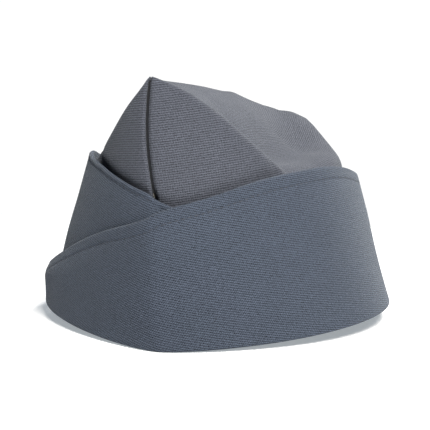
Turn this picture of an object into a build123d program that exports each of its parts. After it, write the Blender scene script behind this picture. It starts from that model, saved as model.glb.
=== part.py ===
from build123d import *
import math
import os

# Garrison cap (side cap) in wool gabardine, standing on its rim.
# Frame: millimetres, +Z up, -Y the front of the cap, +X the wearer's left.
# Most pieces are thin layers of one shared wall. A point on the wall is given by the angle t
# round the cap (0 at the front, 90 at the wearer's left, 180 at the back), by its height z,
# and by its depth inward from the outer face of the curtain.

# --- driving dimensions of the wall ---
RIM_FRONT = 94.0          # rim, from the centre to the front and to the back
RIM_SIDE = 88.5           # rim, from the centre to either side
CURTAIN_LEVEL = 78.0      # level at which the leans below are measured
FRONT_LEAN = 4.5          # how far the wall leans in at the front and back over that level
SIDE_LEAN = 22.0          # how far it leans in at the sides
SIDE_RISE = 8.0           # the rim arches up by this at the sides
PROW_FRONT = 1.54         # power of the plan outline at the front: under 2 is a pointed prow
PROW_BACK = 1.70
CENTRE = (0.49, 1.5)      # moves the cap so that its box is centred on the origin

# --- crown ---
PEAK_FRONT = 119.0
PEAK_BACK = 114.0
TOP_BULGE = 2.0           # the top seam rises this much above the line between its peaks
SHOULDER = 78.0           # height of the side crease half way along the cap
CREASE_LEFT = (52.5, 2.2)   # climb to the front peak on the left: over these degrees, power
CREASE_RIGHT = (75.0, 1.0)  # the same on the right, where it sags straight
CREASE_BACK = (84.0, 1.8)   # climb to the back peak, on both sides
CREASE_SOFT = 1.5         # rounding where the climbs meet the shoulder
SEAM_TILT = 9.0           # the front seam leans this far to the wearer's right at the peak
SEAM_FADE = 4             # power of the cosine by which the lean fades round to the sides
SEAM_GAP = 0.15           # half the gap between the two crown halves
TOP_SHORTEN = 0.95        # the top seam ends inside the peaks by this share of its length
CREASE_DROP = 1.3         # height lost at the crease for each mm of depth
TOP_DROP = 1.2            # and at the top seam
ROOF_SAG = 3.0            # hollow between the side crease and the top seam
ROOF_FULL = 50.0          # width of roof over which hollow and crest reach their full depth
CREST_RISE = 2.5          # the soft crest across the roof behind the middle
CREST_Y = 45.0
CREST_WIDTH = 16.0

# --- layer depths: outer and inner face, in from the outer face of the curtain ---
CURTAIN_CLOTH = (0.0, 0.9)
CURTAIN_INTERLINING = (1.05, 1.45)
CURTAIN_FACING = (1.6, 2.3)
OVERLAP = 3.0             # the left curtain lies this far outside the right one
OVERLAP_FADE = (4.0, 30.0)  # past the tail, it settles back after and over these degrees
TAIL_FLARE = 5.0          # its tail stands this much further out at the wearer's right
FLARE_ANGLES = (-76.0, 26.0)  # middle and half width of that flare
FLARE_AT_RIM = 0.3        # share of the flare at the rim
FLARE_HEIGHT = 28.0       # and it is full by this height at the latest
CROWN_CLEAR = 2.6         # clear depth from the curtain to the crown at the rim
CROWN_STAND_IN = 1.9      # and this much more at CURTAIN_LEVEL
CROWN_CLOTH = (0.0, 0.9)  # depths from here on are measured inside the crown's outer face
SEAM_TAPE = (1.1, 1.35)
CROWN_INTERLINING = (1.6, 2.0)
LINING = (2.3, 2.8)
SWEATBAND = (3.3, 4.3)
BAND_TAB = (4.6, 5.4)

# --- heights and ends of the layers ---
HEM = 0.0
RIM_TAPE_FOOT = 0.3
RIM_TAPE_TOP = 1.0
RIM_TAPE_CLEAR = 0.1
RIM_TAPE_END = 179.5
CROWN_FOOT = 1.2
BAND_FOOT = 2.2
BAND_TOP = 31.0
BAND_END = 177.0          # the sweatband is open at the back between these degrees
BAND_STITCH_RISE = 2.5    # its stitching runs this far above its foot
BAND_STITCH_END = 172.0
TAB_TOP = 27.0
BACK_ANGLES = (172, 177, 180, 183, 188)  # sections of the tab and the tape at the back
TAPE_HEAD_DROP = 4.5      # the crown's upright tapes stop this far below the crease
TAIL_END = 104.0          # degrees round to which each curtain tail runs past the front
BACK_GAP = 0.25           # degrees left open at the back seam
STITCH_DROP = 6.0         # the left curtain's topstitching runs this far below the edge
STITCH_SPAN = (-82, 177)
EDGE_DROP = 2.0           # the right curtain's close edge stitching
EDGE_STITCH_SPAN = (-177, 3)
STITCH_WIDTH = 0.5
STITCH_PROUD = 0.55
STITCH_CLEAR = 0.3

# Top edge of each curtain: degrees from the front towards its own side, height. The tail
# beyond the front has negative degrees.
LEFT_EDGE = ((-104, 3), (-62, 26), (-38, 43.5), (-20, 53), (0, 59), (21, 66), (45, 76.5), (62, 80),
             (80, 79), (99, 74.5), (130, 71), (180, 70.5))
RIGHT_EDGE = ((-104, 3), (-60, 28), (-30, 50), (-11, 62.5), (0, 67.5), (14, 72), (27, 77), (37, 81),
              (54, 85.5), (68, 86.5), (85, 83), (104, 77), (130, 72), (180, 70.5))

# --- labels ---
LABEL_THICK = 0.4
LABEL_DEPTH = SWEATBAND[1] + 0.5
SIZE_LABEL_HEIGHT = 12.0
SIZE_LABEL_ANGLES = (146, 156, 165)
SIZE_LABEL_FOOT = 9.0
CARE_LABEL = (30.0, 34.0)             # width along Y, hanging length
CARE_HINGE = (62.1, 0.0, 64.0)        # middle of the sewn edge, before centring

SECTION_ANGLES = (0, 3, 7, 14, 22, 32, 42, 52, 62, 72, 82, 93, 104, 115, 126, 136, 146, 156, 165,
                  172, 177)

PIECES = {}


def ease(x):
    """Smooth step from 0 to 1."""
    x = min(max(x, 0.0), 1.0)
    return x * x * (3 - 2 * x)


def along(points, t):
    """Smooth curve through (angle, height) points, read at angle t."""
    for k in range(len(points) - 1):
        (t0, z0), (t1, z1) = points[k], points[k + 1]
        if t <= t1 or k == len(points) - 2:
            break
    before = points[max(k - 1, 0)]
    after = points[min(k + 2, len(points) - 1)]
    slope0 = (z1 - before[1]) / (t1 - before[0])
    slope1 = (after[1] - z0) / (after[0] - t0)
    span = t1 - t0
    f = min(max((t - t0) / span, 0.0), 1.0)
    g = 1 - f
    return z0 * g * g * (1 + 2 * f) + z1 * f * f * (1 + 2 * g) + span * f * g * (slope0 * g - slope1 * f)


def soft_max(values, width):
    """The largest value, with the change from one to the next rounded over width."""
    top = max(values)
    return top + width * math.log(sum(math.exp((v - top) / width) for v in values))


def outline(t, front, back, side):
    """Point of the plan outline at angle t, for the given half lengths."""
    s = math.sin(math.radians(t))
    c = math.cos(math.radians(t))
    prow = PROW_FRONT if c > 0 else PROW_BACK
    power = 2 / (2 - (2 - prow) * c * c)
    x = side * math.copysign(abs(s) ** power, s)
    y = -(front if c > 0 else back) * math.copysign(abs(c) ** power, c)
    return x, y


def seam_shift(t, z):
    """Sideways lean of the front seam, fading to nothing at the sides."""
    c = math.cos(math.radians(t))
    return -SEAM_TILT * z / PEAK_FRONT * max(c, 0) ** SEAM_FADE


def wall(t, z, depth):
    """Point on the wall at angle t and height z, this deep inside the curtain's outer face."""
    lean = z / CURTAIN_LEVEL
    length = RIM_FRONT - FRONT_LEAN * lean - depth
    x, y = outline(t, length, length, RIM_SIDE - SIDE_LEAN * lean - depth)
    rise = SIDE_RISE * math.sin(math.radians(t)) ** 2 * (1 - lean)
    return Vector(x + seam_shift(t, z) + CENTRE[0], y + CENTRE[1], z + rise)


def crown_wall(t, z, depth):
    """Point on the crown's wall, this deep inside the crown's own outer face."""
    return wall(t, z, CROWN_CLEAR + CROWN_STAND_IN * z / CURTAIN_LEVEL + depth)


def crease_height(t):
    """Height of the pressed side crease: high at both peaks, low along the side."""
    reach, power = CREASE_LEFT if t > 0 else CREASE_RIGHT
    climb_front = (PEAK_FRONT - SHOULDER) * (1 - (abs(t) / reach) ** power)
    reach, power = CREASE_BACK
    climb_back = (PEAK_BACK - SHOULDER) * (1 - ((180 - abs(t)) / reach) ** power)
    return SHOULDER + soft_max((climb_front, climb_back, 0.0), CREASE_SOFT)


def top_height(y, depth):
    """Height of the top seam at y."""
    span = RIM_FRONT - FRONT_LEAN * PEAK_FRONT / CURTAIN_LEVEL
    f = (y / span + 1) / 2
    slope = PEAK_FRONT + (PEAK_BACK - PEAK_FRONT) * f
    return slope + TOP_BULGE * 4 * f * (1 - f) - TOP_DROP * depth


def roof_points(t, depth, side):
    """Crease, mid roof and top seam points of one crown half at angle t."""
    crease = crown_wall(t, crease_height(t) - CREASE_DROP * depth, depth)
    top_y = TOP_SHORTEN * (crease.Y - CENTRE[1]) + CENTRE[1]
    top_z = top_height(top_y, depth)
    top_x = seam_shift(t, top_z) + CENTRE[0]
    top = Vector(top_x, top_y, top_z)
    middle = (crease + top) * 0.5
    reach = min(abs(crease.X - top.X) / ROOF_FULL, 1)
    crest = CREST_RISE * math.exp(-((middle.Y - CREST_Y) / CREST_WIDTH) ** 2)
    middle = middle + Vector(0, 0, reach * (crest - ROOF_SAG))
    gap = Vector(side * SEAM_GAP, 0, 0)
    return crease + gap, middle + gap, top + gap


def layer(sections, mirrored=False):
    """Closed thin solid over matching sections, each an outer row of points and an inner row.

    Outer and inner faces are cut along the same diagonals, so that nested layers stay parallel.
    In a mirrored layer, whose sections run the other way round, so do the diagonals.
    """
    faces = []

    def quad(a, b, c, d):
        faces.append(Face(Wire.make_polygon([a, b, c], close=True)))
        faces.append(Face(Wire.make_polygon([a, c, d], close=True)))

    for (outer, inner), (next_outer, next_inner) in zip(sections, sections[1:]):
        for row, next_row in ((outer, next_outer), (inner, next_inner)):
            for k in range(len(row) - 1):
                corners = [row[k], row[k + 1], next_row[k + 1], next_row[k]]
                if mirrored:
                    corners = corners[1:] + corners[:1]
                quad(*corners)
        quad(outer[0], next_outer[0], next_inner[0], inner[0])
        quad(outer[-1], next_outer[-1], next_inner[-1], inner[-1])
    for outer, inner in (sections[0], sections[-1]):
        for k in range(len(outer) - 1):
            quad(outer[k], outer[k + 1], inner[k + 1], inner[k])
    return Solid(Shell(faces))


def strip(angles, foot, head, outer, inner, point=wall):
    """Wall layer between two depths, from foot to head; each may be a function of the angle."""
    sections = []
    for t in angles:
        low = foot(t) if callable(foot) else foot
        high = head(t) if callable(head) else head
        out_low = outer(t, low) if callable(outer) else outer
        out_high = outer(t, high) if callable(outer) else outer
        in_low = inner(t, low) if callable(inner) else inner
        in_high = inner(t, high) if callable(inner) else inner
        sections.append(([point(t, low, out_low), point(t, high, out_high)],
                         [point(t, low, in_low), point(t, high, in_high)]))
    return layer(sections)


def keep(name, shape):
    """Register a finished piece under its node name."""
    shape.label = name
    PIECES[name] = shape


def spaced(start, end):
    """Shared section angles from start to end, so that neighbouring layers run parallel."""
    both = sorted({a * sign for a in SECTION_ANGLES for sign in (-1, 1)})
    return [start] + [a for a in both if start < a < end] + [end]


# --- curtains: each runs from the back seam, past the front, to a tail on the other side ---
def left_edge(t):
    """Height of the left curtain's top edge."""
    return along(LEFT_EDGE, t)


def right_edge(t):
    """Height of the right curtain's top edge."""
    return along(RIGHT_EDGE, -t)


def overlap_out(t, z):
    """How far the left curtain stands outside the right one at angle t."""
    start, span = OVERLAP_FADE
    under = OVERLAP * (1 - ease((abs(t) - TAIL_END - start) / span))
    middle, width = FLARE_ANGLES
    bell = math.exp(-((t - middle) / width) ** 2)
    return under + TAIL_FLARE * bell * min(z / FLARE_HEIGHT + FLARE_AT_RIM, 1.0)


def no_overlap(t, z):
    """The right curtain lies on the shared wall itself."""
    return 0.0


def curtain(prefix, start, end, edge, out):
    """Cloth, interlining and facing of one curtain."""
    angles = spaced(start, end)

    def deep(value):
        return lambda t, z: value - out(t, z)

    keep(prefix + "_cloth", strip(angles, HEM, edge, deep(CURTAIN_CLOTH[0]), deep(CURTAIN_CLOTH[1])))
    keep(prefix + "_interlining",
         strip(angles, HEM, edge, deep(CURTAIN_INTERLINING[0]), deep(CURTAIN_INTERLINING[1])))
    keep(prefix + "_facing",
         strip(angles, HEM, edge, deep(CURTAIN_FACING[0]), deep(CURTAIN_FACING[1])))


curtain("curtain_left", -TAIL_END, 180 - BACK_GAP, left_edge, overlap_out)
curtain("curtain_right", -180 + BACK_GAP, TAIL_END, right_edge, no_overlap)


def stitching(name, angles, edge, drop, out):
    """Raised line of stitching at a set distance below a curtain's edge."""
    keep(name, strip(angles, lambda t: edge(t) - drop - STITCH_WIDTH, lambda t: edge(t) - drop,
                     lambda t, z: -out(t, z) - STITCH_PROUD, lambda t, z: -out(t, z) - STITCH_CLEAR))


stitching("curtain_left_topstitch", spaced(*STITCH_SPAN), left_edge, STITCH_DROP, overlap_out)
stitching("curtain_right_edge_stitch", spaced(*EDGE_STITCH_SPAN), right_edge, EDGE_DROP, no_overlap)

# --- rim tape that closes the bottom between the curtain and the sweatband ---
keep("rim_seam_tape",
     strip(spaced(-RIM_TAPE_END, RIM_TAPE_END), RIM_TAPE_FOOT, RIM_TAPE_TOP,
           CURTAIN_FACING[1] + RIM_TAPE_CLEAR, CROWN_CLEAR + SWEATBAND[1]))


# --- crown halves, their interlinings and the lining, each half one folded sheet ---
def crown_half(name, side, foot, depths):
    """One half: wall, side crease and roof, between two depths."""
    sections = []
    for t in spaced(0, 180):
        outer = roof_points(side * t, depths[0], side)
        inner = roof_points(side * t, depths[1], side)
        gap = Vector(side * SEAM_GAP, 0, 0)
        sections.append(([crown_wall(side * t, foot, depths[0]) + gap, *outer],
                         [crown_wall(side * t, foot, depths[1]) + gap, *inner]))
    keep(name, layer(sections, mirrored=side < 0))


for side, word in ((1, "left"), (-1, "right")):
    crown_half("crown_" + word + "_panel", side, CROWN_FOOT, CROWN_CLOTH)
    crown_half("crown_" + word + "_interlining", side, CROWN_FOOT, CROWN_INTERLINING)
    crown_half("lining_" + word, side, CROWN_FOOT, LINING)

# --- tapes behind the three crown seams ---
TAPE_ANGLE = 7.0
TAPE_FOOT = 4.0
keep("front_seam_tape",
     strip(spaced(-TAPE_ANGLE, TAPE_ANGLE), TAPE_FOOT, lambda t: crease_height(t) - TAPE_HEAD_DROP,
           *SEAM_TAPE, point=crown_wall))
keep("back_seam_tape",
     strip(BACK_ANGLES, TAPE_FOOT,
           lambda t: crease_height(360 - t if t > 180 else t) - TAPE_HEAD_DROP, *SEAM_TAPE,
           point=crown_wall))

TOP_TAPE_SHARE = 0.14     # its half width, as a share of the way from seam to mid roof
TOP_TAPE_ANGLES = (14, 156)


def top_tape_row(t, depth):
    """Left edge, ridge and right edge of the top seam tape at angle t."""
    row = []
    for side in (1, -1):
        crease, middle, top = roof_points(side * t, depth, side)
        row.append(top + (middle - top) * TOP_TAPE_SHARE)
    return [row[0], top, row[1]]


keep("top_seam_tape",
     layer([(top_tape_row(t, SEAM_TAPE[0]), top_tape_row(t, SEAM_TAPE[1]))
            for t in spaced(*TOP_TAPE_ANGLES)]))

# --- sweatband, sewn in along the rim, open at the back under its tab ---
keep("sweatband",
     strip(spaced(-BAND_END, BAND_END), BAND_FOOT, BAND_TOP, *SWEATBAND, point=crown_wall))
keep("sweatband_tab",
     strip(BACK_ANGLES, BAND_FOOT, TAB_TOP, *BAND_TAB, point=crown_wall))
stitch_foot = BAND_FOOT + BAND_STITCH_RISE
keep("sweatband_stitching",
     strip(spaced(-BAND_STITCH_END, BAND_STITCH_END), stitch_foot, stitch_foot + STITCH_WIDTH,
           SWEATBAND[1] + STITCH_CLEAR, SWEATBAND[1] + STITCH_PROUD, point=crown_wall))

# --- labels ---
keep("size_label",
     strip(SIZE_LABEL_ANGLES,
           SIZE_LABEL_FOOT, SIZE_LABEL_FOOT + SIZE_LABEL_HEIGHT,
           LABEL_DEPTH, LABEL_DEPTH + LABEL_THICK, point=crown_wall))

hinge = Vector(*CARE_HINGE) + Vector(*CENTRE, 0)
care = Box(LABEL_THICK, CARE_LABEL[0], CARE_LABEL[1],
           align=(Align.CENTER, Align.CENTER, Align.MAX))
keep("care_label", care.moved(Location(hinge)))

os.makedirs("parts", exist_ok=True)
for name, shape in PIECES.items():
    export_step(shape, f"parts/{name}.step")

box = Compound(children=list(PIECES.values())).bounding_box()
print("box", box.min, box.max)
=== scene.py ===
import math
import bmesh
import bpy
import numpy as np
from mathutils import Matrix, Vector


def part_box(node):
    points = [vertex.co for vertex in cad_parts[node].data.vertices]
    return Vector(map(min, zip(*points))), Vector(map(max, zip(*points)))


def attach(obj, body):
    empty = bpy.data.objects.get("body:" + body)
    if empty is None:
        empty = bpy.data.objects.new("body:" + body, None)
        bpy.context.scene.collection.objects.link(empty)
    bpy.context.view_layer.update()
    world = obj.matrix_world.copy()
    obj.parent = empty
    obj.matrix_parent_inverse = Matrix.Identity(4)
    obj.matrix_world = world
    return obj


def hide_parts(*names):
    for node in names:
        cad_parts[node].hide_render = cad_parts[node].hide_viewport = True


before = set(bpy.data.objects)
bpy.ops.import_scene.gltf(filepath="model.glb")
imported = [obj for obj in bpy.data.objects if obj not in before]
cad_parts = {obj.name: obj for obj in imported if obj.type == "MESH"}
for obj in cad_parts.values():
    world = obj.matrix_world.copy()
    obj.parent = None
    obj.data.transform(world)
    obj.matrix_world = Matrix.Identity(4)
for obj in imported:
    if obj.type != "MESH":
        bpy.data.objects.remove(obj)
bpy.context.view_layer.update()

# Garrison cap. Shapes are worked out in millimetres and written to meshes in metres.
# t is the angle round the cap in degrees: 0 at the front (-Y), 90 at the wearer's left (+X).
MM = 0.001
BODY = "cap"

# --- driving values; the wall's own are those of the CAD ---
CENTRE = (0.49, 1.5)  # middle of the rim in plan
RIM_FRONT = 94.0  # half length of the rim, outside the curtain
RIM_SIDE = 88.5  # half width of the rim
LEVEL = 78.0  # height over which the walls lean in by the next two values
FRONT_LEAN = 4.5
SIDE_LEAN = 22.0
SIDE_RISE = 8.0  # how far the rim arches up at the sides
PROW_FRONT = 1.54  # powers of the plan outline at its two ends; 2 would be an ellipse
PROW_BACK = 1.70
PEAK_FRONT = 119.0
PEAK_BACK = 114.0
TOP_BULGE = 2.0  # rise of the top seam between the two peaks
SHOULDER = 78.0  # height of the side crease between its two climbs
CREASE_LEFT = (52.5, 2.2)  # angle from the peak at which a climb ends, and its power
CREASE_RIGHT = (75.0, 1.0)
CREASE_BACK = (84.0, 1.8)
CREASE_SOFT = 1.5
SEAM_TILT = 9.0  # lean of the front peak to the wearer's right
SEAM_FADE = 4
TAIL_END = 104.0  # angle at which each curtain's tapered end stops
OVERLAP = 3.0  # how far the left curtain stands outside the right one
LEFT_EDGE = ((-104, 3), (-62, 26), (-38, 43.5), (-20, 53), (0, 59), (21, 66), (45, 76.5), (62, 80),
             (80, 79), (99, 74.5), (130, 71), (180, 70.5))
RIGHT_EDGE = ((-104, 3), (-60, 28), (-30, 50), (-11, 62.5), (0, 67.5), (14, 72), (27, 77), (37, 81),
              (54, 85.5), (68, 86.5), (85, 83), (104, 77), (130, 72), (180, 70.5))

# --- softer shapes that the CAD leaves out; a pair is the middle and the width of a bell ---
SEAM_BOW = 2.3  # bow of the front seam above this height
BOW_FROM = 67.0
SIDE_BULGE = 2.4  # fullness of the left side, by angle and by height
BULGE_ANGLES = (100, 32)
BULGE_HEIGHTS = (66, 34)
TUCK = 1.3  # the front of the curtain turns in at the rim, below this height
TUCK_TOP = 26
BELLY = 0.9  # and swells above it
BELLY_HEIGHTS = (40, 20)
AHEAD = (-115, 30, 85, 35)  # where tuck and belly start, over how wide, and where they end
TAIL_FLARE = 6.2  # the left curtain's tail stands off
TAIL_ANGLES = (-76, 26)
TAIL_ROLL = 9  # and turns back in over this height under its edge
CROWN_FULL = 3.0  # fullness of the crown at its left shoulder
CROWN_FULL_ANGLES = (97, 16)
SHOULDER_FULL = 7.0  # lift of the crease there
SHOULDER_ANGLES = (93, 13)
PEAK_FULL = 1.3  # lift of the crease at the front peak
PEAK_ANGLES = (0, 9)
GROOVE = 2.0  # the crown tucks in just under the curtain's edge
GROOVE_UNDER = 2.6
GROOVE_WIDE = 3.2
SEAM_OPEN = 0.45  # half the slot at the crown's seams
FRONT_OPEN = 0.3  # more of it low down in front
LIP = 1.3  # how far the cloth turns in beside a seam
FOLD = 2.2  # rounding of the side crease: sharp in front, then the side's more and the back's less
FOLD_SIDE = 8.5
FOLD_BACK = 6.0
PUFF = 1.3  # fullness of the crown's front walls
PUFF_ANGLES = (30, 22)
CREST = 5.6  # second ridge of the roof, running in from the crease this far behind the middle
CREST_Y = 44
CREST_SWING = 22  # and this much further forward at the top seam
CREST_AHEAD = 17
CREST_BEHIND = 9
VALLEY = 10.0  # hollow in front of the crest, by share of the way to the top seam
VALLEY_ACROSS = (0.38, 0.24)
DIP = 2.4  # small hollow behind the crest
DIP_BEHIND = (17, 8)
DIP_ACROSS = (0.45, 0.3)
FULL_RUN = 45  # a narrower stretch of roof has its shape scaled down

# --- cloth: faces of each layer as depths inside the curtain's or the crown's face ---
CLOTH = 0.85
CURTAIN_THICK = 2.3
CURTAIN_CANVAS = (1.0, 1.45)
CURTAIN_FACING = (1.62, 2.28)
TURN_IN = 7.0  # height and thickness of the turning inside the curtain's edge
TURNED = 0.75
CROWN_CLEAR = 2.6  # from the curtain's face in to the crown's, and how much more at the top
CROWN_STAND_IN = 1.9
CROWN_PANEL = (0.0, 0.9)
SEAM_TAPE = (1.1, 1.35)
CROWN_CANVAS = (1.6, 2.0)
LINING = (2.3, 2.8)
RIM_TAPE = (-0.15, 4.3)
BAND = (3.3, 4.2)
BAND_TAB = (4.7, 5.4)
BAND_LABEL = (4.8, 5.2)
BAND_FOOT = 2.2
BAND_TOP = 31.0
STITCH = 2.3  # length of a stitch in the curtains
STITCH_GAP = 0.7
STITCH_RADIUS = 0.2
STITCH_DIP = 0.22  # the stitches' middle line lies this deep in the cloth
LEFT_STITCH_DROP = 6.0  # from the edge down to the stitching
RIGHT_STITCH_DROP = 2.6
DOWN_ROWS = 46  # rows of mesh up the crown's wall, and again over its roof


def ease(x):
    """Smooth step from 0 to 1."""
    x = np.clip(x, 0, 1)
    return x * x * (3 - 2 * x)


def bell(x, middle, width):
    """Smooth hump of height 1."""
    return np.exp(-((x - middle) / width) ** 2)


def along(points, t):
    """Smooth curve through (angle, height) points, read at angles t."""
    a, h = np.array(points, float).T
    slope = np.gradient(h, a)
    slope[1:-1] = (h[2:] - h[:-2]) / (a[2:] - a[:-2])
    k = np.clip(np.searchsorted(a, t) - 1, 0, len(a) - 2)
    span = a[k + 1] - a[k]
    f = np.clip((t - a[k]) / span, 0, 1)
    g = 1 - f
    return (h[k] * g * g * (1 + 2 * f) + h[k + 1] * f * f * (1 + 2 * g)
            + span * f * g * (slope[k] * g - slope[k + 1] * f))


def outline(t, length, side):
    """Plan outline at angle t, for this half length and half width."""
    s = np.sin(np.radians(t))
    c = np.cos(np.radians(t))
    prow = np.where(c > 0, PROW_FRONT, PROW_BACK)
    power = 2 / (2 - (2 - prow) * c * c)
    return side * np.sign(s) * np.abs(s) ** power, -length * np.sign(c) * np.abs(c) ** power


def seam_shift(z):
    """How far the front leans to the wearer's right at height z, bowed above the curtain."""
    above = np.clip((z - BOW_FROM) / (PEAK_FRONT - BOW_FROM), 0, 1)
    return SEAM_TILT * z / PEAK_FRONT + SEAM_BOW * np.sin(np.pi * above)


def wall(t, z, depth):
    """Points on the wall at angle t and height z, this deep inside the curtain's face."""
    t, z, depth = np.broadcast_arrays(*[np.asarray(a, float) for a in (t, z, depth)])
    lean = z / LEVEL
    start, rise_over, end, fall_over = AHEAD
    ahead = ease((t - start) / rise_over) * ease((end - t) / fall_over)
    depth = (depth - SIDE_BULGE * bell(t, *BULGE_ANGLES) * bell(z, *BULGE_HEIGHTS)
             + TUCK * (1 - ease(z / TUCK_TOP)) * ahead - BELLY * bell(z, *BELLY_HEIGHTS) * ahead)
    x, y = outline(t, RIM_FRONT - FRONT_LEAN * lean - depth, RIM_SIDE - SIDE_LEAN * lean - depth)
    shift = -seam_shift(z) * np.maximum(np.cos(np.radians(t)), 0) ** SEAM_FADE
    rise = SIDE_RISE * np.sin(np.radians(t)) ** 2 * (1 - lean)
    return np.stack([x + shift + CENTRE[0], y + CENTRE[1], z + rise], -1)


def crown_wall(t, z, depth):
    """Points on the crown's wall, this deep inside its outer face."""
    z = np.asarray(z, float)
    full = CROWN_FULL * bell(t, *CROWN_FULL_ANGLES) * ease((z - 74) / 12)
    edge = np.maximum(left_edge(t), right_edge(t))
    full = full - GROOVE * bell(z, edge - GROOVE_UNDER, GROOVE_WIDE)
    return wall(t, z, CROWN_CLEAR + CROWN_STAND_IN * z / LEVEL - full + depth)


def crease_height(t):
    """Height of the pressed side crease."""
    def climb(peak, reach, power, turn):
        return (peak - SHOULDER) * (1 - (turn / reach) ** power)

    front = np.where(t > 0, climb(PEAK_FRONT, *CREASE_LEFT, np.abs(t)),
                     climb(PEAK_FRONT, *CREASE_RIGHT, np.abs(t)))
    back = climb(PEAK_BACK, *CREASE_BACK, 180 - np.abs(t))
    full = SHOULDER_FULL * bell(t, *SHOULDER_ANGLES) + PEAK_FULL * bell(t, *PEAK_ANGLES)
    blend = np.log(np.exp(front / CREASE_SOFT) + np.exp(back / CREASE_SOFT) + 1)
    return SHOULDER + CREASE_SOFT * blend + full


def top_height(y):
    """Height of the top seam at this distance behind the cap's middle."""
    span = RIM_FRONT - FRONT_LEAN * PEAK_FRONT / LEVEL
    f = (y / span + 1) / 2
    return PEAK_FRONT + (PEAK_BACK - PEAK_FRONT) * f + TOP_BULGE * 4 * f * (1 - f)


# --- meshes ---
def make_object(name, points, faces, uvs=None, sharp=40):
    """Object from points in millimetres; uvs are millimetres of cloth."""
    mesh = bpy.data.meshes.new(name)
    mesh.from_pydata([tuple(p) for p in np.asarray(points) * MM], [], faces)
    mesh.validate()
    if uvs is not None:
        layer = mesh.uv_layers.new(name="cloth")
        index = np.zeros(len(mesh.loops), np.int32)
        mesh.loops.foreach_get("vertex_index", index)
        layer.data.foreach_set("uv", (np.asarray(uvs) * MM)[index].astype(np.float32).ravel())
    work = bmesh.new()
    work.from_mesh(mesh)
    bmesh.ops.recalc_face_normals(work, faces=work.faces)
    work.to_mesh(mesh)
    work.free()
    mesh.polygons.foreach_set("use_smooth", [True] * len(mesh.polygons))
    mesh.set_sharp_from_angle(angle=math.radians(sharp))
    obj = bpy.data.objects.new(name, mesh)
    bpy.context.scene.collection.objects.link(obj)
    return obj


def ring_shell(name, rings, uvs):
    """Closed mesh over columns, each a closed ring of points (cols, ring, 3)."""
    cols, n = rings.shape[:2]
    faces = []
    for c in range(cols - 1):
        for k in range(n):
            m = (k + 1) % n
            faces.append((c * n + k, c * n + m, (c + 1) * n + m, (c + 1) * n + k))
    faces.append(tuple(range(n)))
    faces.append(tuple((cols - 1) * n + k for k in range(n)))
    return make_object(name, rings.reshape(-1, 3), faces, uvs.reshape(-1, 2))


def two_sided(name, outer, inner, uv):
    """Closed mesh from an outer and an inner grid of the same size (cols, rows, 3)."""
    rings = np.concatenate([outer, inner[:, ::-1]], 1)
    uvs = np.concatenate([uv, uv[:, ::-1]], 1)
    cols, n = rings.shape[:2]
    rows = outer.shape[1]
    faces = []
    for c in range(cols - 1):
        for k in range(n):
            m = (k + 1) % n
            faces.append((c * n + k, c * n + m, (c + 1) * n + m, (c + 1) * n + k))
    for c in (0, cols - 1):
        for k in range(rows - 1):
            faces.append((c * n + k, c * n + k + 1, c * n + n - 2 - k, c * n + n - 1 - k))
    return make_object(name, rings.reshape(-1, 3), faces, uvs.reshape(-1, 2))


def lengths(grid, axis):
    """Running length along one axis of a grid of points."""
    steps = np.linalg.norm(np.diff(grid, axis=axis), axis=-1)
    pad = [(0, 0), (0, 0)]
    pad[axis] = (1, 0)
    return np.pad(np.cumsum(steps, axis=axis), pad)


def angles(start, end, step, seams=(0,)):
    """Column angles from start to end, packed closer beside each seam."""
    ts = list(np.arange(start, end, step)) + [end]
    for seam in seams:
        for d in (0.35, 0.7, 1.1, 1.6, 2.2, 3.0, 4.0, 5.2, 6.5):
            ts += [a for a in (seam - d, seam + d) if start < a < end]
    ts = np.array(sorted(ts))
    keep = [ts[0]]
    for a in ts[1:-1]:
        if a - keep[-1] > 0.3 and ts[-1] - a > 0.3:
            keep.append(a)
    return np.array(keep + [ts[-1]])


def place(obj, node, material, body=BODY):
    """Put a finished piece in place of its CAD node."""
    obj.data.materials.append(material)
    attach(obj, body)
    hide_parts(node)


# --- materials ---
class Nodes:
    """Short hand for building one material's node tree."""

    def __init__(self, name):
        self.material = bpy.data.materials.new(name)
        self.material.use_nodes = True
        self.tree = self.material.node_tree
        self.shader = self.tree.nodes["Principled BSDF"]

    def add(self, kind, **values):
        node = self.tree.nodes.new(kind)
        for key, value in values.items():
            if hasattr(node, key):
                setattr(node, key, value)
            else:
                node.inputs[key.replace("_", " ")].default_value = value
        return node

    def link(self, a, b):
        self.tree.links.new(a, b)

    def math(self, operation, a, b=None):
        node = self.tree.nodes.new("ShaderNodeMath")
        node.operation = operation
        for socket, value in ((node.inputs[0], a), (node.inputs[1], b)):
            if value is None:
                continue
            if isinstance(value, (int, float)):
                socket.default_value = value
            else:
                self.link(value, socket)
        return node.outputs[0]

    def mix(self, factor, a, b, blend="MIX"):
        node = self.tree.nodes.new("ShaderNodeMix")
        node.data_type = "RGBA"
        node.blend_type = blend
        for socket, value in ((node.inputs[0], factor), (node.inputs[6], a), (node.inputs[7], b)):
            if isinstance(value, (int, float)):
                socket.default_value = value
            elif isinstance(value, tuple):
                socket.default_value = (*value, 1)
            else:
                self.link(value, socket)
        return node.outputs[2]


def rgb(r, g, b):
    """Linear colour from 0-255 sRGB values."""
    def linear(v):
        v /= 255
        return v / 12.92 if v <= 0.04045 else ((v + 0.055) / 1.055) ** 2.4
    return (linear(r), linear(g), linear(b))


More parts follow.
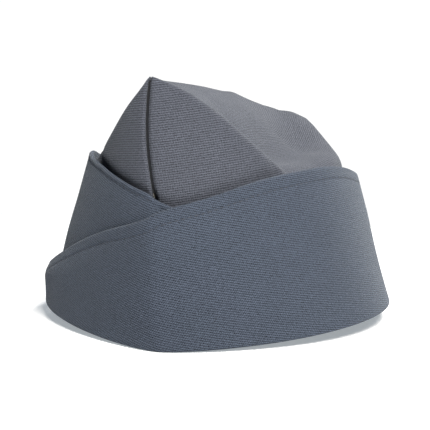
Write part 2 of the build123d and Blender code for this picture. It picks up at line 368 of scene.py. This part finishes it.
def wave(n, vector, pitch, angle, distortion=0.0, detail_scale=1.0):
    """Parallel ribs this far apart in metres, at an angle in degrees to the cloth's length."""
    turn = n.add("ShaderNodeMapping", vector_type="TEXTURE")
    turn.inputs["Rotation"].default_value = (0, 0, math.radians(angle))
    n.link(vector, turn.inputs["Vector"])
    ribs = n.add("ShaderNodeTexWave", wave_type="BANDS", bands_direction="Y", wave_profile="SIN")
    # One band of the wave texture is 2*pi/20 of its input long.
    ribs.inputs["Scale"].default_value = 2 * math.pi / 20 / pitch
    ribs.inputs["Distortion"].default_value = distortion
    ribs.inputs["Detail"].default_value = 2
    ribs.inputs["Detail Scale"].default_value = detail_scale
    n.link(turn.outputs["Vector"], ribs.inputs["Vector"])
    return ribs.outputs["Fac"]


def woven(name, colour, dark, light, pitch, angle, cross_pitch, bump, roughness, sheen,
          sheen_tint=(1, 1, 1), pattern=0.5, cloud=0.25, lustre=0.25):
    """Ribbed cloth: twill ribs crossed by threads, with a soft mottle and fuzz."""
    n = Nodes(name)
    coords = n.add("ShaderNodeUVMap", uv_map="cloth").outputs["UV"]
    ribs = wave(n, coords, pitch, angle, 1.2, 3.0)
    threads = wave(n, coords, cross_pitch, angle + 62, 0.6, 2.0)
    fuzz = n.add("ShaderNodeTexNoise", Scale=1 / (pitch * 0.8), Detail=3.0, Roughness=0.7)
    n.link(coords, fuzz.inputs["Vector"])
    mottle = n.add("ShaderNodeTexNoise", Scale=38.0, Detail=4.0, Roughness=0.6)
    n.link(coords, mottle.inputs["Vector"])
    height = n.math("ADD", n.math("MULTIPLY", ribs, 0.62), n.math("MULTIPLY", threads, 0.22))
    height = n.math("ADD", height, n.math("MULTIPLY", fuzz.outputs["Fac"], 0.5))
    tone = n.mix(n.math("MULTIPLY", height, pattern), dark, light)
    tone = n.mix(pattern, colour, tone)
    shade = n.math("ADD", n.math("MULTIPLY", mottle.outputs["Fac"], cloud), 1 - cloud / 2)
    shaded = n.add("ShaderNodeVectorMath", operation="SCALE")
    n.link(tone, shaded.inputs[0])
    n.link(shade, shaded.inputs["Scale"])
    n.link(shaded.outputs["Vector"], n.shader.inputs["Base Color"])
    relief = n.add("ShaderNodeBump", Strength=bump, Distance=0.0002)
    n.link(height, relief.inputs["Height"])
    n.link(relief.outputs["Normal"], n.shader.inputs["Normal"])
    rough = n.math("ADD", n.math("MULTIPLY", ribs, 0.08), roughness - 0.04)
    n.link(rough, n.shader.inputs["Roughness"])
    n.shader.inputs["Sheen Weight"].default_value = sheen
    n.shader.inputs["Sheen Roughness"].default_value = 0.45
    n.shader.inputs["Sheen Tint"].default_value = (*sheen_tint, 1)
    n.shader.inputs["Specular IOR Level"].default_value = lustre
    return n.material


def gabardine(name, dark, light, angle, pitch=0.00105):
    """Wool twill: raised ribs of spun thread, dark between them, with a mottle and fine hairs."""
    n = Nodes(name)
    coords = n.add("ShaderNodeUVMap", uv_map="cloth").outputs["UV"]
    ribs = wave(n, coords, pitch, angle, 2.2, 5.0)
    threads = wave(n, coords, pitch * 0.8, angle + 66, 2.5, 5.0)
    fuzz = n.add("ShaderNodeTexNoise", Scale=1 / (pitch * 0.7), Detail=4.0, Roughness=0.8)
    n.link(coords, fuzz.inputs["Vector"])
    mottle = n.add("ShaderNodeTexNoise", Scale=60.0, Detail=6.0, Roughness=0.7)
    n.link(coords, mottle.inputs["Vector"])
    rib_share, thread_share, fuzz_share = 0.38, 0.24, 1.4
    height = n.math("ADD", n.math("MULTIPLY", ribs, rib_share),
                    n.math("MULTIPLY", threads, thread_share))
    height = n.math("ADD", height, n.math("MULTIPLY", fuzz.outputs["Fac"], fuzz_share))
    darkest, contrast, cloud = 0.62, 1.3, 0.24
    tone = n.math("MULTIPLY", n.math("SUBTRACT", height, darkest), contrast)
    shade = n.math("ADD", n.math("MULTIPLY", mottle.outputs["Fac"], cloud), 1 - cloud / 2)
    shaded = n.add("ShaderNodeVectorMath", operation="SCALE")
    n.link(n.mix(tone, dark, light), shaded.inputs[0])
    n.link(shade, shaded.inputs["Scale"])
    n.link(shaded.outputs["Vector"], n.shader.inputs["Base Color"])
    relief = n.add("ShaderNodeBump", Strength=0.9, Distance=0.0003)
    n.link(height, relief.inputs["Height"])
    n.link(relief.outputs["Normal"], n.shader.inputs["Normal"])
    n.shader.inputs["Roughness"].default_value = 0.85
    n.shader.inputs["Sheen Weight"].default_value = 0.14
    n.shader.inputs["Sheen Tint"].default_value = (0.85, 0.93, 1.0, 1)
    n.shader.inputs["Sheen Roughness"].default_value = 0.35
    n.shader.inputs["Specular IOR Level"].default_value = 0.2
    return n.material


def leather(name, colour, dark, scale=900.0, roughness=0.45):
    """Leather with a fine pebbled grain and soft wear."""
    n = Nodes(name)
    coords = n.add("ShaderNodeUVMap", uv_map="cloth").outputs["UV"]
    grain = n.add("ShaderNodeTexVoronoi", feature="DISTANCE_TO_EDGE", Scale=scale)
    n.link(coords, grain.inputs["Vector"])
    fine = n.add("ShaderNodeTexNoise", Scale=scale * 2.2, Detail=4.0)
    n.link(coords, fine.inputs["Vector"])
    wear = n.add("ShaderNodeTexNoise", Scale=30.0, Detail=4.0)
    n.link(coords, wear.inputs["Vector"])
    n.link(n.mix(wear.outputs["Fac"], dark, colour), n.shader.inputs["Base Color"])
    height = n.math("ADD", n.math("MINIMUM", n.math("MULTIPLY", grain.outputs["Distance"], 4), 0.6),
                    n.math("MULTIPLY", fine.outputs["Fac"], 0.3))
    relief = n.add("ShaderNodeBump", Strength=0.5, Distance=0.00025)
    n.link(height, relief.inputs["Height"])
    n.link(relief.outputs["Normal"], n.shader.inputs["Normal"])
    n.link(n.math("ADD", n.math("MULTIPLY", fine.outputs["Fac"], 0.18), roughness - 0.09),
           n.shader.inputs["Roughness"])
    return n.material


def thread(name, colour, pitch=0.0005):
    """Twisted thread: fine slanting ridges along each stitch."""
    n = Nodes(name)
    coords = n.add("ShaderNodeTexCoord").outputs["Object"]
    twist = n.add("ShaderNodeTexWave", wave_type="BANDS", bands_direction="DIAGONAL")
    twist.inputs["Scale"].default_value = 2 * math.pi / 20 / pitch
    n.link(coords, twist.inputs["Vector"])
    dark = tuple(c * 0.7 for c in colour)
    n.link(n.mix(twist.outputs["Fac"], dark, colour), n.shader.inputs["Base Color"])
    relief = n.add("ShaderNodeBump", Strength=0.4, Distance=0.0001)
    n.link(twist.outputs["Fac"], relief.inputs["Height"])
    n.link(relief.outputs["Normal"], n.shader.inputs["Normal"])
    n.shader.inputs["Roughness"].default_value = 0.6
    return n.material


# Crown and curtain are the same wool. The crown's lighter, warmer colours are painted light,
# standing in for the top light that falls on the crown.
wool_crown_painted_lighter = gabardine("wool_crown_painted_lighter", rgb(13, 16, 22), rgb(88, 92, 103), 5)
wool_curtain = gabardine("wool_curtain", rgb(9, 13, 20), rgb(76, 85, 100), -13)
canvas = woven("canvas", rgb(214, 206, 186), rgb(150, 142, 120), rgb(232, 226, 210), 0.0009, 0,
               0.0009, 0.9, 0.9, 0.1)
satin = woven("satin", rgb(66, 70, 84), rgb(48, 52, 64), rgb(92, 98, 114), 0.0003, 0, 0.00025,
              0.25, 0.42, 0.15, pattern=0.3, cloud=0.15, lustre=0.5)
# The tape's near-black colour is partly its own dark cloth and partly painted shade, darkening the
# seam slots where the tape shows.
tape = woven("tape", rgb(10, 12, 18), rgb(5, 6, 10), rgb(20, 23, 30), 0.0006, 45, 0.0006,
             0.7, 0.8, 0.15)
label_cloth = woven("label_cloth", rgb(226, 223, 212), rgb(196, 192, 178), rgb(240, 238, 230),
                    0.00035, 0, 0.0003, 0.4, 0.6, 0.1, pattern=0.35, cloud=0.08)
band_leather = leather("band_leather", rgb(74, 54, 42), rgb(50, 36, 28))
wool_thread = thread("wool_thread", rgb(46, 51, 62))
band_thread = thread("band_thread", rgb(120, 96, 74))


# --- curtains ---
def left_edge(t):
    """Height of the left curtain's edge, a little wavy away from the front."""
    waver = 0.3 * np.sin(np.radians(t * 5)) + 0.2 * np.sin(np.radians(t * 11 + 40))
    return along(LEFT_EDGE, t) + waver * ease(np.abs(t) / 20)


def right_edge(t):
    """Height of the right curtain's edge."""
    waver = 0.3 * np.sin(np.radians(t * 4 + 60)) + 0.2 * np.sin(np.radians(t * 9))
    return along(RIGHT_EDGE, -t) + waver * ease(np.abs(t) / 20)


def left_out(t, z):
    """How far the left curtain stands outside the shared wall."""
    past = ease((np.abs(t) - TAIL_END - 4) / 30)
    flare = TAIL_FLARE * bell(t, *TAIL_ANGLES) * np.minimum(z / 28 + 0.3, 1)
    flare = flare * (1 - 0.4 * ease((z - left_edge(t) + TAIL_ROLL) / TAIL_ROLL))
    sway = 0.5 * np.sin(np.radians(t * 3 + 25)) * np.sin(np.pi * np.clip(z / 80, 0, 1))
    return OVERLAP * (1 - past) + flare + sway * ease(np.abs(t) / 15)


def right_out(t, z):
    """How far the right curtain stands outside the shared wall."""
    sway = 0.4 * np.sin(np.radians(t * 4 - 30)) * np.sin(np.pi * np.clip(z / 80, 0, 1))
    return sway * ease((-t - 6) / 20)


def hem_profile(height, stitch_drop):
    """Section of a curtain's cloth as (z, depth) rows: rim fold, face, rolled edge, turn-in."""
    roll = CURTAIN_THICK / 2
    top = height - roll
    turn = np.minimum(TURN_IN, top * 0.5)
    base = np.minimum(1.6, top * 0.4)
    rows = []

    def add(z, depth):
        rows.append((z + 0 * height, depth + 0 * height))

    add(0.02, 2.4)
    add(0.0, 1.5)
    add(0.06, 0.8)
    add(base * 0.28, 0.24)
    add(base * 0.62, 0.05)
    low_rows = 26
    stitch = height - stitch_drop
    lower = np.minimum(stitch - 1.2, top * 0.7)
    for k in range(low_rows + 1):
        add(base + (lower - base) * k / low_rows, 0.0)
    for f, dip in ((-0.7, 0.07), (-0.35, 0.18), (0.0, 0.26), (0.35, 0.18), (0.7, 0.07), (1.2, 0)):
        here = np.minimum(stitch + f, top - 0.1)
        add(np.maximum(here, lower + 0.05 * (f + 1)), dip)
    for k in range(1, 4):
        above = np.minimum(stitch + 1.2, top - 0.1)
        add(above + (top - above) * k / 4, 0.0)
    for k in range(9):
        a = math.pi * k / 8
        add(top + roll * math.sin(a), roll - roll * math.cos(a))
    for k in range(1, 5):
        add(top - turn * k / 4, CURTAIN_THICK)
    add(top - turn, CURTAIN_THICK - TURNED)
    add(top - 1.2, CURTAIN_THICK - TURNED)
    add(top - 1.2, CLOTH)
    for k in range(9):
        add(top - 1.6 - (top - 1.6 - base) * k / 8, CLOTH)
    add(0.85, 1.5)
    add(0.85, 2.4)
    return np.array([r[0] for r in rows]).T, np.array([r[1] for r in rows]).T


def curtain(side, ts, edge, out, stitch_drop):
    """Cloth, interlining and facing of one curtain."""
    t = ts[:, None]
    height = edge(ts)
    z, depth = hem_profile(height, stitch_drop)
    rings = wall(t, z, depth - out(t, z))
    around = lengths(rings[:, 8:9], 0)
    uv = np.stack([around + 0 * z, lengths(rings, 1)], -1)
    cloth = ring_shell(f"curtain_{side}_cloth", rings, uv)
    place(cloth, f"curtain_{side}_cloth", wool_curtain)

    rows = np.linspace(0, 1, 24)[None, :]
    for part, low, drop, depths, slot, material in (
            ("interlining", 1.2, 1.6, CURTAIN_CANVAS, "interlining_canvas", canvas),
            ("facing", 1.0, 7.6, CURTAIN_FACING, "wool_gabardine", wool_curtain)):
        # These layers stop one column short, so that the cloth hides their ends.
        t = ts[1:-1, None]
        head = np.maximum(height[1:-1] - drop, low + 0.6)[:, None]
        zz = low + (head - low) * rows
        outer = wall(t, zz, depths[0] - out(t, zz))
        inner = wall(t, zz, depths[1] - out(t, zz))
        grid_uv = np.stack([lengths(outer, 0), lengths(outer, 1)], -1)
        piece = two_sided(f"curtain_{side}_{part}", outer, inner, grid_uv)
        place(piece, f"curtain_{side}_{part}", material)


def stitch_row(name, material, path, normal, length, gap, radius=STITCH_RADIUS):
    """Separate stitches along a path of closely spaced points, each a small bent capsule."""
    run = lengths(path[:, None], 0)[:, 0]
    count = int(run[-1] // (length + gap))
    points, faces = [], []
    ring = 6
    profile = ((0.0, 0.25, -0.9), (0.12, 0.85, -0.2), (0.35, 1.0, 0.25), (0.65, 1.0, 0.25),
               (0.88, 0.85, -0.2), (1.0, 0.25, -0.9))

    def at(values, s):
        return np.array([np.interp(s, run, values[:, k]) for k in range(3)])

    for i in range(count):
        start = i * (length + gap) + gap / 2
        base = len(points)
        for f, wide, lift in profile:
            s = start + f * length
            centre = at(path, s)
            up = at(normal, s)
            up = up / np.linalg.norm(up)
            ahead = at(path, s + 0.2) - at(path, s - 0.2)
            ahead = ahead / np.linalg.norm(ahead)
            across = np.cross(up, ahead)
            centre = centre + up * radius * lift
            for k in range(ring):
                a = 2 * math.pi * k / ring
                points.append(centre + radius * wide * (math.cos(a) * across + math.sin(a) * up))
        for j in range(len(profile) - 1):
            for k in range(ring):
                m = (k + 1) % ring
                a, b = base + j * ring, base + (j + 1) * ring
                faces.append((a + k, a + m, b + m, b + k))
        faces.append(tuple(base + k for k in range(ring)))
        faces.append(tuple(base + (len(profile) - 1) * ring + k for k in range(ring)))
    obj = make_object(name, points, faces, sharp=80)
    place(obj, name, material)


def edge_stitching(name, ts, edge, drop, out):
    """Stitching this far under a curtain's edge."""
    z = edge(ts) - drop
    depth = STITCH_DIP - out(ts, z)
    path = wall(ts, z, depth)
    stitch_row(name, wool_thread, path, wall(ts, z, depth - 1.0) - path, STITCH, STITCH_GAP)


curtain("left", angles(-TAIL_END, 179.7, 1.0), left_edge, left_out, LEFT_STITCH_DROP)
curtain("right", angles(-179.7, TAIL_END, 1.0), right_edge, right_out, RIGHT_STITCH_DROP)
edge_stitching("curtain_left_topstitch", np.linspace(-92, 176, 1200), left_edge,
               LEFT_STITCH_DROP, left_out)
edge_stitching("curtain_right_edge_stitch", np.linspace(-177, 3, 900), right_edge,
               RIGHT_STITCH_DROP, right_out)

# --- crown and lining ---
def roof_shape(f, y, run):
    """Height added to the straight line from side crease (f=0) to top seam (f=1).

    A crest runs in from the crease, with a wide hollow in front of it and a dip behind it.
    """
    off = y - (CREST_Y - CREST_SWING * ease((f - 0.7) / 0.3))
    ahead = np.exp(-(np.minimum(off, 0) / CREST_AHEAD) ** 2)
    behind = np.exp(-(np.maximum(off, 0) / CREST_BEHIND) ** 2)
    crest = CREST * ahead * behind * ease(f / 0.15) * (1 - 0.75 * ease((f - 0.3) / 0.35))
    valley_length = ease((y + 76) / 34) * ease((34 - y) / 34)
    valley = VALLEY * bell(f, *VALLEY_ACROSS) * valley_length * ease(f / 0.08)
    dip = DIP * bell(off, *DIP_BEHIND) * bell(f, *DIP_ACROSS)
    return np.minimum(run / FULL_RUN, 1) * (crest - valley - dip)


def seam_lip(t):
    """How far the cloth turns in beside the front and back seams."""
    s = np.sin(np.radians(t))
    wide = np.where(t < 90, 66 * s ** (2 / PROW_FRONT), 66 * s ** (2 / PROW_BACK))
    return LIP * np.exp(-(wide / 0.7) ** 1.5)


def crown_rows(t, side, depth, foot, wall_rows, roof_rows, lips=True):
    """Columns of points from the rim up the wall, over the side crease and in to the top seam."""
    ts = (t * side)[:, None]
    peak = (crease_height(t * side) - 1.3 * depth)[:, None]
    fold = (FOLD + FOLD_SIDE * ease((t - 14) / 30) - FOLD_BACK * ease((t - 110) / 50))[:, None]
    rows = np.linspace(0, 1, wall_rows)[None, :]
    z = foot + (peak - fold - foot) * rows
    lip = seam_lip(t)[:, None] if lips else 0
    side_wall = crown_wall(ts, z, depth + lip)
    puff = PUFF * np.sin(np.pi * rows) * bell(t, *PUFF_ANGLES)[:, None]
    normal = crown_wall(ts, z, depth - 1) - crown_wall(ts, z, depth)
    side_wall = side_wall + puff[..., None] * normal * (1 if lips else 0.8)

    crease = crown_wall(ts, peak, depth + lip)[:, 0]
    top_y = 0.95 * (crease[:, 1] - CENTRE[1]) + CENTRE[1]
    top_z = top_height(top_y) - 1.2 * depth
    ahead = np.maximum(np.cos(np.radians(t)), 0) ** SEAM_FADE
    top_x = -seam_shift(top_z) * ahead + CENTRE[0] + SEAM_OPEN * side
    top = np.stack([top_x, top_y, top_z], -1)
    run = np.linalg.norm(top - crease, axis=-1)[:, None]
    start = np.minimum(fold / np.maximum(run, 1), 0.4)
    f = start + (1 - start) * np.linspace(0, 1, roof_rows)[None, :] ** 0.9
    roof = crease[:, None] + (top - crease)[:, None] * f[..., None]
    roof[..., 2] += roof_shape(f, roof[..., 1] - CENTRE[1], run)
    if lips:
        gap = (1 - f) * run
        roof[..., 2] -= LIP * np.exp(-(gap / 0.8) ** 1.5)
    bend = np.linspace(0, 1, 9)[None, 1:-1, None]
    low, high = side_wall[:, -1:], roof[:, :1]
    corner = low * (1 - bend) ** 2 + 2 * crease[:, None] * bend * (1 - bend) + high * bend ** 2
    points = np.concatenate([side_wall, corner, roof], 1)
    low_down = np.minimum(np.linspace(5, 0, wall_rows + 7), 1)
    opening = SEAM_OPEN + FRONT_OPEN * np.exp(-(t[:, None] / 14) ** 2) * low_down
    points[:, :wall_rows + 7, 0] += opening * side
    return points


def crown_layer(side, name, depths, foot, material, lips, step):
    """One layer of one half of the crown, from this far above the rim."""
    t = angles(0, 180, step, seams=(0, 180))
    outer = crown_rows(t, side, depths[0], foot, DOWN_ROWS, DOWN_ROWS, lips)
    inner = crown_rows(t, side, depths[1], foot, DOWN_ROWS, DOWN_ROWS, False)
    uv = np.stack([lengths(outer[:, 5:6], 0) + 0 * outer[..., 0], lengths(outer, 1)], -1)
    uv[..., 0] *= side
    piece = two_sided(name, outer, inner, uv)
    place(piece, name, material)


for side, word in ((1, "left"), (-1, "right")):
    crown_layer(side, f"crown_{word}_panel", CROWN_PANEL, 1.2, wool_crown_painted_lighter,
                True, 1.5)
    crown_layer(side, f"crown_{word}_interlining", CROWN_CANVAS, 3.0,
                canvas, False, 3.0)
    crown_layer(side, f"lining_{word}", LINING, 2.0, satin, False, 3.0)


# --- tapes, sweatband and labels ---
def wall_strip(name, material, ts, low, high, depths, rows, surface=crown_wall):
    """A strip round the wall from height low up to height high, a number or a curve."""
    t = ts[:, None]
    top = high(ts)[:, None] if callable(high) else high
    z = low + (top - low) * np.linspace(0, 1, rows)[None, :]
    outer = surface(t, z, depths[0])
    inner = surface(t, z, depths[1])
    uv = np.stack([lengths(outer, 0), lengths(outer, 1)], -1)
    piece = two_sided(name, outer, inner, uv)
    place(piece, name, material)


def back_tape_top(t):
    return crease_height(np.where(t > 180, 360 - t, t)) - 0.9


wall_strip("front_seam_tape", tape, np.linspace(-7, 7, 15), 1.2,
           lambda t: crease_height(t) - 2.0, SEAM_TAPE, 70)
wall_strip("back_seam_tape", tape, np.linspace(172, 188, 17), 1.2, back_tape_top,
           SEAM_TAPE, 70)
# Under a centimetre wide, so it isn't declared as a sheet.
wall_strip("rim_seam_tape", tape, angles(-180, 180, 2.0), 0.35, 1.0, RIM_TAPE, 3)


def top_seam_tape():
    """Tape under the top seam, over the last rows of both halves of the roof."""
    t = np.linspace(5, 179, 72)
    left = crown_rows(t, 1, SEAM_TAPE[0], 1.2, 8, DOWN_ROWS, False)
    right = crown_rows(t, -1, SEAM_TAPE[0], 1.2, 8, DOWN_ROWS, False)
    outer = np.concatenate([left[:, -9::4], right[:, -5:-10:-4]], 1)
    inner = outer - np.array([0, 0, 0.28])
    uv = np.stack([lengths(outer, 0), lengths(outer, 1)], -1)
    piece = two_sided("top_seam_tape", outer, inner, uv)
    place(piece, "top_seam_tape", tape)


top_seam_tape()


def band_depth(t, z):
    """The sweatband leans off the lining a little towards its free edge."""
    return 0.35 * ease((z - 12) / 18) + 0.25 * np.sin(np.radians(t * 6)) * ease((z - 14) / 16)


def band_surface(t, z, depth):
    """Points on the sweatband, this deep inside the crown's face."""
    return crown_wall(t, z, depth + band_depth(t, z))


wall_strip("sweatband", band_leather, angles(-177, 177, 1.5), BAND_FOOT,
           BAND_TOP, BAND, 20, band_surface)
wall_strip("sweatband_tab", band_leather, np.linspace(172, 188, 17),
           BAND_FOOT, 27.0, BAND_TAB, 14, band_surface)
ts = np.linspace(-171, 171, 1600)
height = 4.8 + 0 * ts
path = band_surface(ts, height, BAND[1] + 0.05)
stitch_row("sweatband_stitching", band_thread, path,
           band_surface(ts, height, BAND[1] + 1.05) - path, 2.6, 0.9)
wall_strip("size_label", label_cloth, np.linspace(146, 165, 20), 9.0, 21.0,
           BAND_LABEL, 10, band_surface)


def care_label():
    """A label hanging from its sewn top edge, curling a little to its free end."""
    low, high = (np.array(corner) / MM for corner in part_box("care_label"))
    middle = (low + high) / 2
    wide = high[1] - low[1]
    tall = high[2] - low[2]
    u = np.linspace(-0.5, 0.5, 25)[:, None]
    v = np.linspace(0, 1, 29)[None, :]
    curl = 1.1 * np.sin(np.pi * v) * v + 0.8 * (2 * u) ** 2 * v
    sheet = np.stack([middle[0] - curl, middle[1] + wide * u + 0 * v,
                      high[2] - tall * v + 0 * u], -1)
    half = np.array([0.2, 0, 0])
    uv = np.stack([wide * u + 0 * v, tall * v + 0 * u], -1)
    piece = two_sided("care_label", sheet - half, sheet + half, uv)
    place(piece, "care_label", label_cloth, "care_label")


care_label()


# --- floor, light and camera ---
def floor(half=0.46):
    """Pale square floor that glows a little, which keeps the cap's shadow faint."""
    mesh = bpy.data.meshes.new("floor")
    corners = [(-half, -half, 0), (half, -half, 0), (half, half, 0), (-half, half, 0)]
    mesh.from_pydata(corners, [], [(0, 1, 2, 3)])
    obj = bpy.data.objects.new("floor", mesh)
    bpy.context.scene.collection.objects.link(obj)
    n = Nodes("floor_paper")
    n.shader.inputs["Base Color"].default_value = (0.68, 0.68, 0.68, 1)
    n.shader.inputs["Roughness"].default_value = 0.9
    n.shader.inputs["Emission Color"].default_value = (0.88, 0.95, 1.0, 1)
    n.shader.inputs["Emission Strength"].default_value = 0.38
    mesh.materials.append(n.material)


def area_light(name, place_at, aim, size, power, colour):
    """Square soft light; places in metres, power in watts."""
    data = bpy.data.lights.new(name, "AREA")
    data.shape = "SQUARE"
    data.size = size
    data.energy = power
    data.color = colour
    obj = bpy.data.objects.new(name, data)
    obj.location = place_at
    obj.rotation_euler = (Vector(aim) - Vector(place_at)).to_track_quat("-Z", "Y").to_euler()
    bpy.context.scene.collection.objects.link(obj)


def sky_ramp(sky, where, direction, low, high, low_value, high_value):
    """A smooth step of light across the sky, along a direction."""
    dot = sky.nodes.new("ShaderNodeVectorMath")
    dot.operation = "DOT_PRODUCT"
    dot.inputs[1].default_value = direction
    sky.links.new(where, dot.inputs[0])
    ramp = sky.nodes.new("ShaderNodeMapRange")
    ramp.interpolation_type = "SMOOTHSTEP"
    for name, value in (("From Min", low), ("From Max", high), ("To Min", low_value),
                        ("To Max", high_value)):
        ramp.inputs[name].default_value = value
    sky.links.new(dot.outputs["Value"], ramp.inputs["Value"])
    return ramp.outputs["Result"]


def studio():
    """White backdrop behind the cap, and cool dim light round the rest of the room.

    The room is brighter overhead and on the cap's left than on its right.
    """
    world = bpy.data.worlds.new("studio")
    world.use_nodes = True
    sky = world.node_tree
    where = sky.nodes.new("ShaderNodeTexCoord").outputs["Generated"]
    backdrop = sky_ramp(sky, where, (-0.28, 0.96, 0.0), 0.84, 0.90, 0.0, 1.0)
    room = sky_ramp(sky, where, (0.5, 0.1, 0.86), -0.5, 1.0, 0.0, 0.17)
    cool = sky.nodes.new("ShaderNodeVectorMath")
    cool.operation = "SCALE"
    cool.inputs[0].default_value = (0.84, 0.95, 1.18)
    sky.links.new(room, cool.inputs["Scale"])
    colour = sky.nodes.new("ShaderNodeMix")
    colour.data_type = "RGBA"
    factor, room_colour, white = colour.inputs[0], colour.inputs[6], colour.inputs[7]
    white.default_value = (1.05, 1.05, 1.05, 1)
    sky.links.new(backdrop, factor)
    sky.links.new(cool.outputs["Vector"], room_colour)
    sky.links.new(colour.outputs[2], sky.nodes["Background"].inputs["Color"])
    sky.nodes["Background"].inputs["Strength"].default_value = 1.0
    bpy.context.scene.world = world


def camera(azimuth, elevation, roll, distance, lens, aim, aside, above):
    """Camera this far from a point beside and above the aim; degrees and millimetres."""
    az, el, roll = (math.radians(a) for a in (azimuth, elevation, roll))
    right = Vector((math.cos(az), math.sin(az), 0))
    behind = Vector((math.sin(az) * math.cos(el), -math.cos(az) * math.cos(el), math.sin(el)))
    up = behind.cross(right)
    spot = Vector(aim) + right * aside + up * above + behind * distance
    rolled_right = right * math.cos(roll) - up * math.sin(roll)
    rolled_up = right * math.sin(roll) + up * math.cos(roll)
    data = bpy.data.cameras.new("camera")
    data.sensor_width = 36
    data.lens = lens
    obj = bpy.data.objects.new("camera", data)
    turn = Matrix((rolled_right, rolled_up, behind)).transposed().to_4x4()
    obj.matrix_world = Matrix.Translation(spot * MM) @ turn
    bpy.context.scene.collection.objects.link(obj)
    bpy.context.scene.camera = obj


floor()
area_light("key", (0.34, -0.50, 0.60), (0, 0, 0.07), 0.26, 14.0, (1.0, 0.96, 0.9))
area_light("top", (0.20, 0.5, 0.62), (0, 0, 0.09), 0.26, 7.5, (1.0, 0.98, 0.95))
studio()
camera(16.14, 5.37, -0.415, 446.0, 69.706, (CENTRE[0], 0, 60), -1.49, -8.19)
bpy.context.scene.view_settings.view_transform = "Standard"
